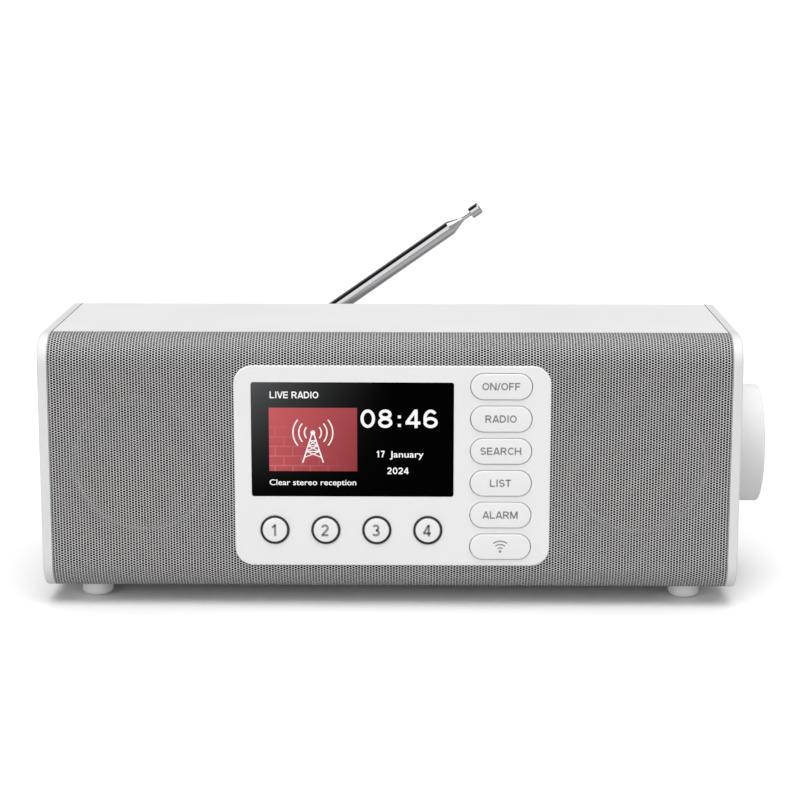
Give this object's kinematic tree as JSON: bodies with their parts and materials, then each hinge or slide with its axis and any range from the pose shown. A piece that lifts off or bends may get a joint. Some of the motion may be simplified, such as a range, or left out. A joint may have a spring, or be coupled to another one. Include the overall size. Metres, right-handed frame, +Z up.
{
  "type": "tabletop radio",
  "caption": "Wide box-shaped tabletop radio with a perforated front, a central display and button panel, an end-mounted knob and a telescopic antenna.",
  "frame": {"origin": "on the table plane, below the middle of the whole outline, with the knob and the antenna counted", "axes": "+X along the width towards the knob, +Y from the front to the back, +Z up from the table"},
  "size_m": [0.315, 0.1234, 0.1637],
  "materials": {
    "cabinet_white": "satin",
    "end_white": "satin",
    "grille_white": "satin powder coat",
    "panel_white": "semi-gloss",
    "button_white": "semi-gloss",
    "knob_white": "satin",
    "window_black": "gloss",
    "display_black": "matt",
    "ring_black": "dark chrome",
    "inner_black": "matt",
    "rear_grey": "fine texture",
    "foot_rubber": "soft matt",
    "board_green": "solder mask",
    "can_steel": "tinned",
    "heat_aluminium": "extruded",
    "component_black": "matt",
    "antenna_chrome": "polished",
    "screw_steel": "zinc",
    "cone_black": "matt paper",
    "surround_rubber": "matt",
    "basket_black": "black paint",
    "magnet_dark": "ferrite and steel",
    "ribbon_grey": "flat cable",
    "lead_black": "lead sheath",
    "socket_black": "matt",
    "encoder_steel": "plain"
  },
  "bodies": {
    "cabinet": {"cabinet_wrap": "cabinet_white", "left_end_panel": "end_white", "right_end_panel": "end_white", "rear_cover": "rear_grey", "front_baffle": "inner_black", "grille": "grille_white", "control_panel": "panel_white", "display_window": "window_black", "display_module": "display_black", "button_board": "board_green", "tact_switches": "component_black", "preset_rings": "ring_black", "front_left_foot": "foot_rubber", "front_right_foot": "foot_rubber", "rear_left_foot": "foot_rubber", "rear_right_foot": "foot_rubber", "main_board": "board_green", "tuner_can": "can_steel", "heat_sink": "heat_aluminium", "board_components": "component_black", "dc_socket": "socket_black", "headphone_socket": "socket_black", "aux_socket": "socket_black", "left_speaker_frame": "basket_black", "left_speaker_magnet": "magnet_dark", "right_speaker_frame": "basket_black", "right_speaker_magnet": "magnet_dark", "encoder_body": "encoder_steel", "encoder_nut": "encoder_steel", "antenna_bushing": "antenna_chrome", "cover_screws": "screw_steel", "speaker_screws": "screw_steel", "board_screws": "screw_steel", "front_ribbon": "ribbon_grey", "speaker_leads": "lead_black"},
    "power_button_body": {"power_button": "button_white"},
    "radio_button_body": {"radio_button": "button_white"},
    "search_button_body": {"search_button": "button_white"},
    "list_button_body": {"list_button": "button_white"},
    "alarm_button_body": {"alarm_button": "button_white"},
    "wireless_button_body": {"wireless_button": "button_white"},
    "preset_button_1_body": {"preset_button_1": "button_white"},
    "preset_button_2_body": {"preset_button_2": "button_white"},
    "preset_button_3_body": {"preset_button_3": "button_white"},
    "preset_button_4_body": {"preset_button_4": "button_white"},
    "left_cone_body": {"left_speaker_cone": "cone_black", "left_speaker_surround": "surround_rubber"},
    "right_cone_body": {"right_speaker_cone": "cone_black", "right_speaker_surround": "surround_rubber"},
    "knob_carriage": {"encoder_plunger": "encoder_steel"},
    "knob": {"encoder_shaft": "encoder_steel", "volume_knob": "knob_white"},
    "antenna_base": {"antenna_swivel": "antenna_chrome", "antenna_hinge_pin": "antenna_chrome"},
    "antenna_lower": {"antenna_tube_1": "antenna_chrome"},
    "antenna_second": {"antenna_tube_2": "antenna_chrome"},
    "antenna_third": {"antenna_tube_3": "antenna_chrome"},
    "antenna_fourth": {"antenna_tube_4": "antenna_chrome"},
    "antenna_tip": {"antenna_tip_rod": "antenna_chrome", "antenna_cap": "antenna_chrome"}
  },
  "joints": [
    {"name": "power_button_press", "type": "slide", "parent": "cabinet", "child": "power_button_body", "axis": [0, 1, 0], "range_m": [0, 0.0005], "stiffness_N_per_m": 600, "springref_m": -0.001},
    {"name": "radio_button_press", "type": "slide", "parent": "cabinet", "child": "radio_button_body", "axis": [0, 1, 0], "range_m": [0, 0.0005], "stiffness_N_per_m": 600, "springref_m": -0.001},
    {"name": "search_button_press", "type": "slide", "parent": "cabinet", "child": "search_button_body", "axis": [0, 1, 0], "range_m": [0, 0.0005], "stiffness_N_per_m": 600, "springref_m": -0.001},
    {"name": "list_button_press", "type": "slide", "parent": "cabinet", "child": "list_button_body", "axis": [0, 1, 0], "range_m": [0, 0.0005], "stiffness_N_per_m": 600, "springref_m": -0.001},
    {"name": "alarm_button_press", "type": "slide", "parent": "cabinet", "child": "alarm_button_body", "axis": [0, 1, 0], "range_m": [0, 0.0005], "stiffness_N_per_m": 600, "springref_m": -0.001},
    {"name": "wireless_button_press", "type": "slide", "parent": "cabinet", "child": "wireless_button_body", "axis": [0, 1, 0], "range_m": [0, 0.0005], "stiffness_N_per_m": 600, "springref_m": -0.001},
    {"name": "preset_button_1_press", "type": "slide", "parent": "cabinet", "child": "preset_button_1_body", "axis": [0, 1, 0], "range_m": [0, 0.0005], "stiffness_N_per_m": 600, "springref_m": -0.001},
    {"name": "preset_button_2_press", "type": "slide", "parent": "cabinet", "child": "preset_button_2_body", "axis": [0, 1, 0], "range_m": [0, 0.0005], "stiffness_N_per_m": 600, "springref_m": -0.001},
    {"name": "preset_button_3_press", "type": "slide", "parent": "cabinet", "child": "preset_button_3_body", "axis": [0, 1, 0], "range_m": [0, 0.0005], "stiffness_N_per_m": 600, "springref_m": -0.001},
    {"name": "preset_button_4_press", "type": "slide", "parent": "cabinet", "child": "preset_button_4_body", "axis": [0, 1, 0], "range_m": [0, 0.0005], "stiffness_N_per_m": 600, "springref_m": -0.001},
    {"name": "left_cone_travel", "type": "slide", "parent": "cabinet", "child": "left_cone_body", "axis": [0, 1, 0], "range_m": [-0.001, 0.001], "stiffness_N_per_m": 600},
    {"name": "right_cone_travel", "type": "slide", "parent": "cabinet", "child": "right_cone_body", "axis": [0, 1, 0], "range_m": [-0.001, 0.001], "stiffness_N_per_m": 600},
    {"name": "knob_push", "type": "slide", "parent": "cabinet", "child": "knob_carriage", "axis": [-1, 0, 0], "range_m": [0, 0.0005], "stiffness_N_per_m": 1500, "springref_m": -0.001},
    {"name": "knob_spin", "type": "hinge", "parent": "knob_carriage", "child": "knob", "pos_m": [0.1425, -0.0045, 0.062], "axis": [1, 0, 0], "continuous": true},
    {"name": "antenna_swivel_turn", "type": "hinge", "parent": "cabinet", "child": "antenna_base", "pos_m": [-0.0715, 0.0575, 0.0883], "axis": [0, -1, 0], "range_deg": [-35, 145]},
    {"name": "antenna_tilt", "type": "hinge", "parent": "antenna_base", "child": "antenna_lower", "pos_m": [-0.0715, 0.0575, 0.0883], "axis": [-0.5736, 0, 0.8192], "range_deg": [0, 90]},
    {"name": "antenna_draw_1", "type": "slide", "parent": "antenna_lower", "child": "antenna_second", "axis": [0.8192, 0, 0.5736], "range_m": [0, 0.078]},
    {"name": "antenna_draw_2", "type": "slide", "parent": "antenna_second", "child": "antenna_third", "axis": [0.8192, 0, 0.5736], "range_m": [0, 0.078]},
    {"name": "antenna_draw_3", "type": "slide", "parent": "antenna_third", "child": "antenna_fourth", "axis": [0.8192, 0, 0.5736], "range_m": [0, 0.078]},
    {"name": "antenna_draw_4", "type": "slide", "parent": "antenna_fourth", "child": "antenna_tip", "axis": [0.8192, 0, 0.5736], "range_m": [0, 0.078]}
  ]
}
